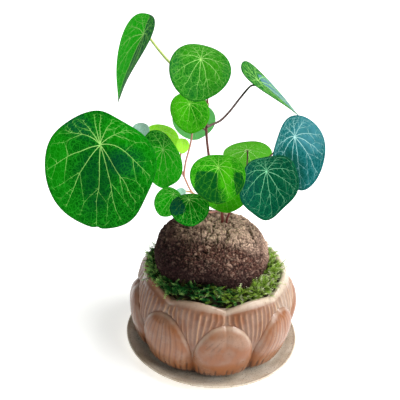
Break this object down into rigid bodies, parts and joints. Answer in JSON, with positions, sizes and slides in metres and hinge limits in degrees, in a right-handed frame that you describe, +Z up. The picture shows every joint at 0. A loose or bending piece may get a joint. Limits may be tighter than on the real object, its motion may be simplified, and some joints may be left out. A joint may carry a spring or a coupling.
{
  "type": "potted stephania",
  "caption": "Young stephania: round leaves on thin stalks over a corky round caudex, set in moss in a petal-carved ceramic pot that stands on its saucer.",
  "frame": {"origin": "centre of the saucer's flat underside, on the surface that it stands on", "axes": "+Z up, -Y to the front that the picture looks at, +X to the right seen from the front"},
  "size_m": [0.1958, 0.1418, 0.2582],
  "materials": {
    "stoneware": "satin, speckled",
    "carved_clay": "satin glaze over carved flutes",
    "bark": "rough corky bark",
    "earth": "matte, loose",
    "moss_green": "matte, fronded",
    "red_stem": "satin skin",
    "leaf_deep": "satin leaf with raised pale veins",
    "leaf_mid": "satin leaf with raised pale veins",
    "leaf_lime": "satin leaf with raised pale veins",
    "leaf_teal": "satin leaf with raised pale veins",
    "leaf_blue": "satin leaf with raised pale veins",
    "leaf_pale": "satin young leaf"
  },
  "bodies": {
    "root": {"saucer": "stoneware", "pot": "carved_clay", "soil": "earth", "moss": "moss_green", "caudex": "bark", "stem_main": "red_stem", "stem_right": "red_stem", "leaf_left_large": "leaf_deep", "leaf_top_left": "leaf_mid", "leaf_top": "leaf_mid", "leaf_top_right": "leaf_mid", "leaf_right": "leaf_blue", "leaf_right_front": "leaf_teal", "leaf_centre": "leaf_lime", "leaf_centre_low": "leaf_lime", "leaf_right_back": "leaf_lime", "leaf_left_mid": "leaf_mid", "leaf_left_back": "leaf_lime", "leaf_bud_left": "leaf_lime", "leaf_upper": "leaf_lime", "leaf_upper_back": "leaf_teal", "leaf_low_left": "leaf_mid", "leaf_low_front": "leaf_deep", "leaf_young_back": "leaf_pale", "leaf_young_low": "leaf_pale"}
  },
  "joints": []
}
